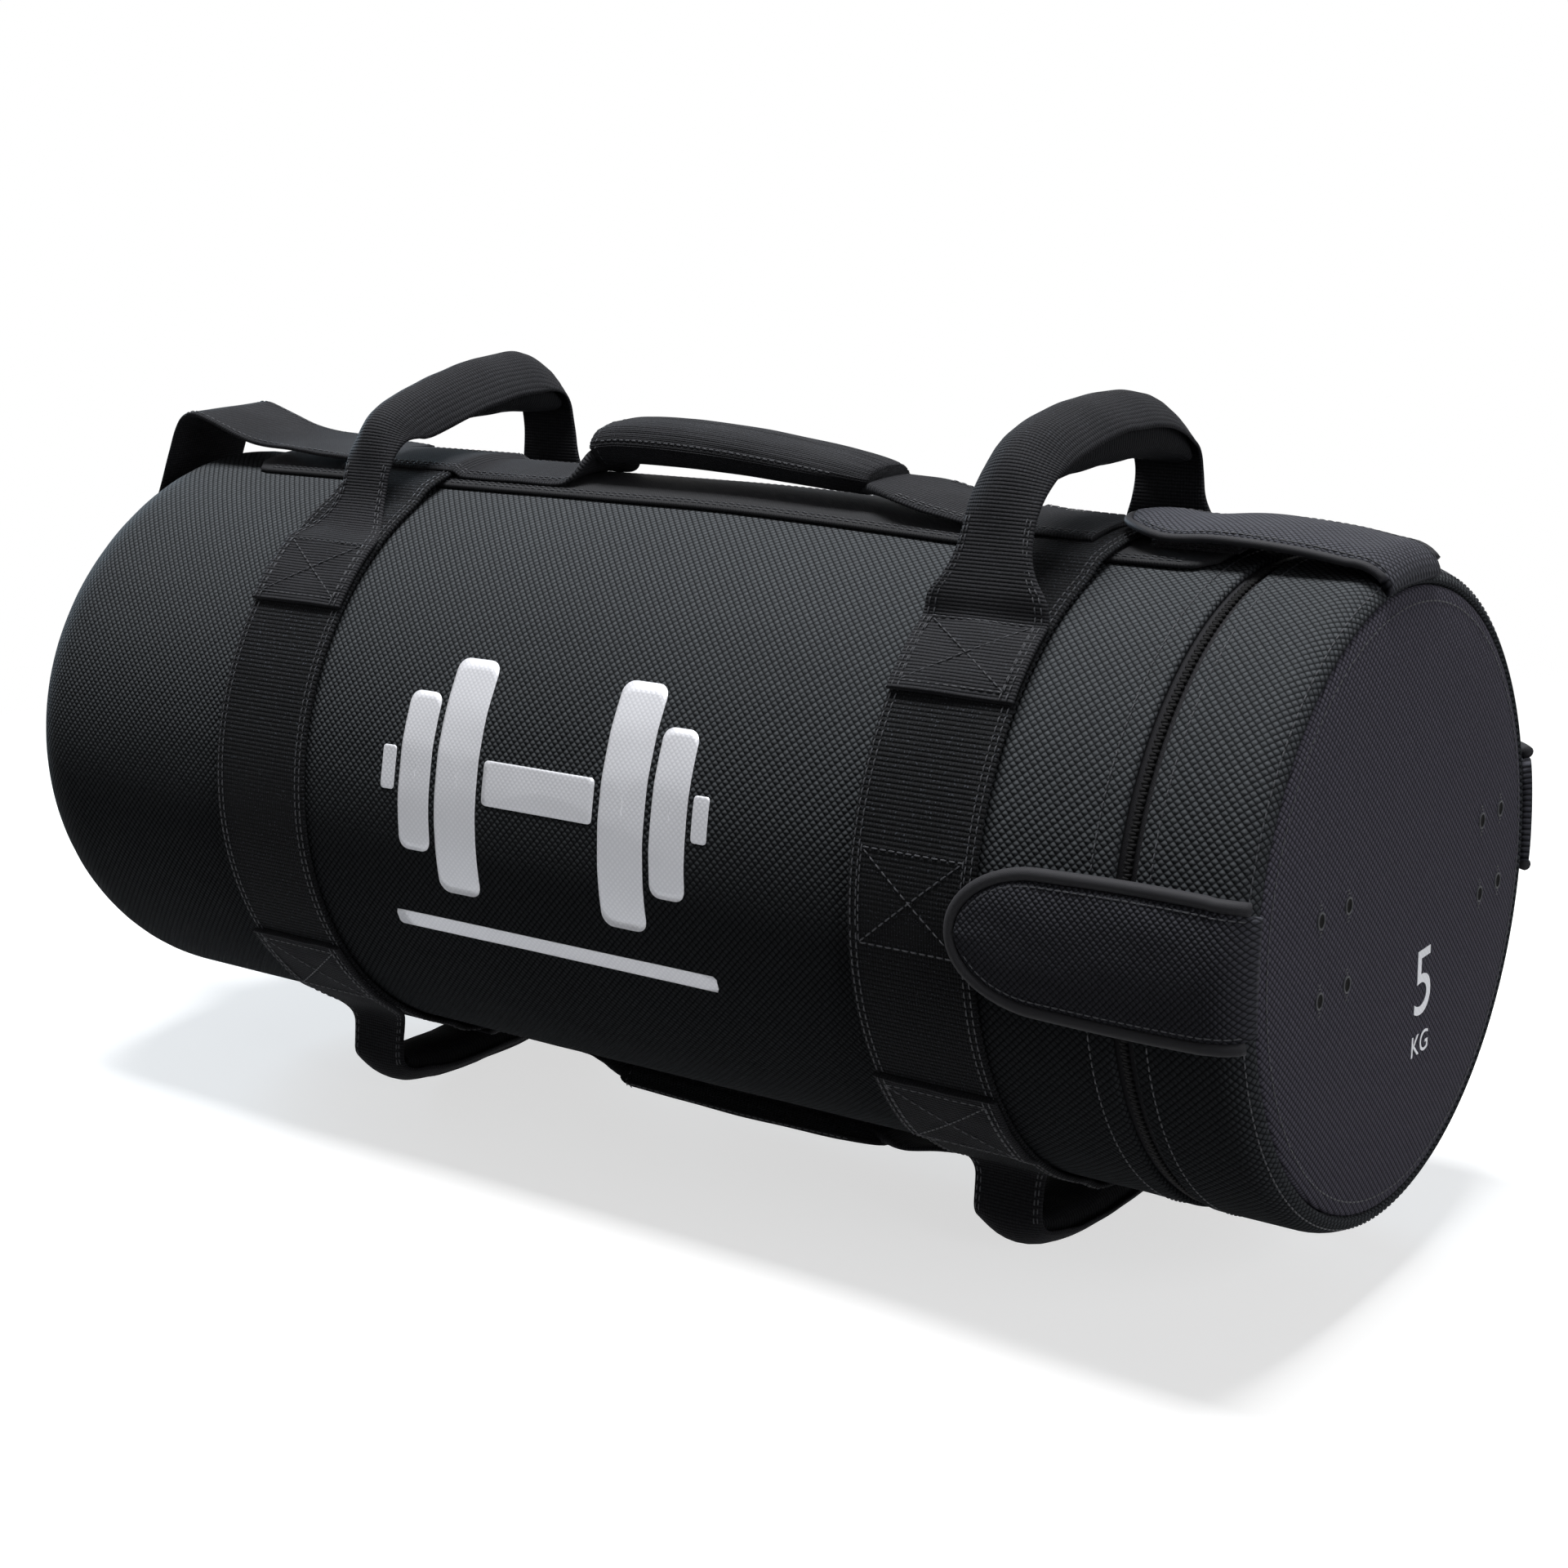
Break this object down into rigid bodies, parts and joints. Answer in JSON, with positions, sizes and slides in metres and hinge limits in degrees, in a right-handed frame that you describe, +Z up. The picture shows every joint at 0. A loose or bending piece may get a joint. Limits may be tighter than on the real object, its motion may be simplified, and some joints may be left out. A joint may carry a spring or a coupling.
{
  "type": "sandbag trainer",
  "caption": "Black round strength-training sandbag with a zipped lid held by rounded flaps, webbing belts and padded carrying handles.",
  "frame": {"origin": "on the floor, under the middle of the bag's box", "axes": "+X along the bag towards the zipped lid, -Y the bag's front, +Z up"},
  "size_m": [0.634, 0.2438, 0.3034],
  "materials": {
    "shell": "embossed matt",
    "panel": "woven matt",
    "webbing": "ribbed webbing",
    "padding": "ribbed webbing",
    "trim": "matt",
    "hook_tape": "napped",
    "zip": "blackened",
    "foam": "matt",
    "sand": "matt",
    "liner": "matt"
  },
  "bodies": {
    "bag_body": {"body_skin": "shell", "far_end_panel": "shell", "foam_core": "foam", "filler_bag": "liner", "sand_fill": "sand", "mouth_foam_pad": "foam", "left_belt": "webbing", "right_belt": "webbing", "top_strip": "webbing", "bottom_strip": "webbing", "top_strap_far": "webbing", "top_strap_near": "webbing", "bottom_strap_far": "webbing", "bottom_strap_near": "webbing", "end_strap_top": "webbing", "end_strap_root": "webbing", "zip_tape_body": "trim", "front_loop_tape": "hook_tape", "top_loop_tape": "hook_tape", "back_loop_tape": "hook_tape", "left_top_front_root": "webbing", "left_top_back_root": "webbing", "right_top_front_root": "webbing", "right_top_back_root": "webbing", "left_bottom_front_root": "webbing", "left_bottom_back_root": "webbing", "right_bottom_front_root": "webbing", "right_bottom_back_root": "webbing"},
    "lid": {"lid_band": "shell", "lid_panel": "panel", "lid_lining": "foam", "zip_tape_lid": "trim", "front_flap_root": "shell", "top_flap_root": "shell", "back_flap_root": "shell"},
    "front_flap": {"front_flap": "shell", "front_flap_piping": "trim", "front_hook_tape": "hook_tape"},
    "top_flap": {"top_flap": "shell", "top_flap_piping": "trim", "top_hook_tape": "hook_tape"},
    "back_flap": {"back_flap": "shell", "back_flap_piping": "trim", "back_hook_tape": "hook_tape"},
    "zip_slider": {"zip_slider": "zip"},
    "zip_pull": {"zip_pull": "zip"},
    "left_top_handle": {"left_top_handle": "padding"},
    "right_top_handle": {"right_top_handle": "padding"},
    "left_bottom_handle": {"left_bottom_handle": "padding"},
    "right_bottom_handle": {"right_bottom_handle": "padding"},
    "top_handle": {"top_handle_core": "webbing", "top_handle_sleeve": "padding"},
    "bottom_handle": {"bottom_handle_core": "webbing", "bottom_handle_sleeve": "padding"},
    "end_handle": {"end_handle_grip": "webbing"}
  },
  "joints": [
    {"name": "lid_pull_off", "type": "slide", "parent": "bag_body", "child": "lid", "axis": [1, 0, 0], "range_m": [0, 0.06]},
    {"name": "front_flap_lift", "type": "hinge", "parent": "lid", "child": "front_flap", "pos_m": [0.313, -0.11954, 0.14833], "axis": [0, 0.0523, 0.9986], "range_deg": [0, 120]},
    {"name": "top_flap_lift", "type": "hinge", "parent": "lid", "child": "top_flap", "pos_m": [0.313, 0, 0.26406], "axis": [0, 1, 0], "range_deg": [0, 120]},
    {"name": "back_flap_lift", "type": "hinge", "parent": "lid", "child": "back_flap", "pos_m": [0.313, 0.11954, 0.14833], "axis": [0, 0.0523, -0.9986], "range_deg": [0, 120]},
    {"name": "zip_run", "type": "hinge", "parent": "bag_body", "child": "zip_slider", "pos_m": [0.26875, 0, 0.14206], "axis": [-1, 0, 0], "range_deg": [0, 300]},
    {"name": "zip_pull_lift", "type": "hinge", "parent": "zip_slider", "child": "zip_pull", "pos_m": [0.26875, 0.0951, 0.07547], "axis": [-1, 0, 0], "range_deg": [0, 120]},
    {"name": "left_top_swing", "type": "hinge", "parent": "bag_body", "child": "left_top_handle", "pos_m": [-0.12, 0, 0.26806], "axis": [0, 1, 0], "range_deg": [-45, 45]},
    {"name": "left_bottom_swing", "type": "hinge", "parent": "bag_body", "child": "left_bottom_handle", "pos_m": [-0.12, 0, 0.03006], "axis": [0, 1, 0], "range_deg": [-15, 15]},
    {"name": "right_top_swing", "type": "hinge", "parent": "bag_body", "child": "right_top_handle", "pos_m": [0.1915, 0, 0.26806], "axis": [0, 1, 0], "range_deg": [-45, 45]},
    {"name": "right_bottom_swing", "type": "hinge", "parent": "bag_body", "child": "right_bottom_handle", "pos_m": [0.1915, 0, 0.03006], "axis": [0, 1, 0], "range_deg": [-15, 15]},
    {"name": "top_handle_rock", "type": "hinge", "parent": "bag_body", "child": "top_handle", "pos_m": [0.0405, 0, 0.26556], "axis": [1, 0, 0], "range_deg": [-8, 8]},
    {"name": "bottom_handle_rock", "type": "hinge", "parent": "bag_body", "child": "bottom_handle", "pos_m": [0.0405, 0, 0.01856], "axis": [1, 0, 0], "range_deg": [-8, 8]},
    {"name": "end_handle_twist", "type": "hinge", "parent": "bag_body", "child": "end_handle", "pos_m": [-0.294, 0, 0.16826], "axis": [0, 0, 1], "range_deg": [-10, 10]}
  ]
}
